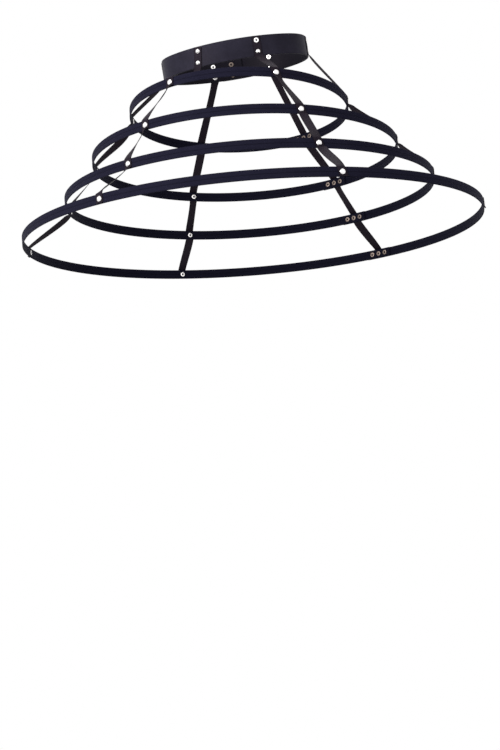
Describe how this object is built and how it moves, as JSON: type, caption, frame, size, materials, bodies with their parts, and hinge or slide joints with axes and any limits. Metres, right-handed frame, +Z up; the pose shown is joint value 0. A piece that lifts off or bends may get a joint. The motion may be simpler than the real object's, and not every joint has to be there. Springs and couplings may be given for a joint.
{
  "type": "crinoline cage",
  "caption": "Short cage crinoline: a waistband over widening boned hoops, hung on riveted straps that hold a skirt out from the body.",
  "frame": {"origin": "centre of the bottom hoop, on the plane of its lower edge", "axes": "+Z up towards the waistband, -Y towards the wearer's front, +X to the right of a viewer who faces the front"},
  "size_m": [0.7749, 0.7666, 0.3233],
  "materials": {
    "waistband": "smooth satin black band with a soft sheen",
    "hoop_tape": "fine twill tape, near black, with a shallow valley along the middle",
    "bone": "flat spring steel, inside the tape",
    "strap": "thin smooth strap, dark grey with a brown cast, low gloss",
    "rivet": "polished nickel"
  },
  "bodies": {
    "root": {"waistband": "waistband", "waistband_rivet_caps": "rivet", "waistband_rivet_posts": "rivet", "hoop_1_casing": "hoop_tape", "hoop_1_upper_bone": "bone", "hoop_1_lower_bone": "bone", "hoop_1_rivet_caps": "rivet", "hoop_1_rivet_posts": "rivet", "hoop_2_casing": "hoop_tape", "hoop_2_upper_bone": "bone", "hoop_2_lower_bone": "bone", "hoop_2_rivet_caps": "rivet", "hoop_2_rivet_posts": "rivet", "hoop_3_casing": "hoop_tape", "hoop_3_upper_bone": "bone", "hoop_3_lower_bone": "bone", "hoop_3_rivet_caps": "rivet", "hoop_3_rivet_posts": "rivet", "hoop_4_casing": "hoop_tape", "hoop_4_upper_bone": "bone", "hoop_4_lower_bone": "bone", "hoop_4_rivet_caps": "rivet", "hoop_4_rivet_posts": "rivet", "strap_front_right": "strap", "strap_side_right": "strap", "strap_back_right": "strap", "strap_back_left": "strap", "strap_side_left": "strap", "strap_front_left": "strap"}
  },
  "joints": []
}
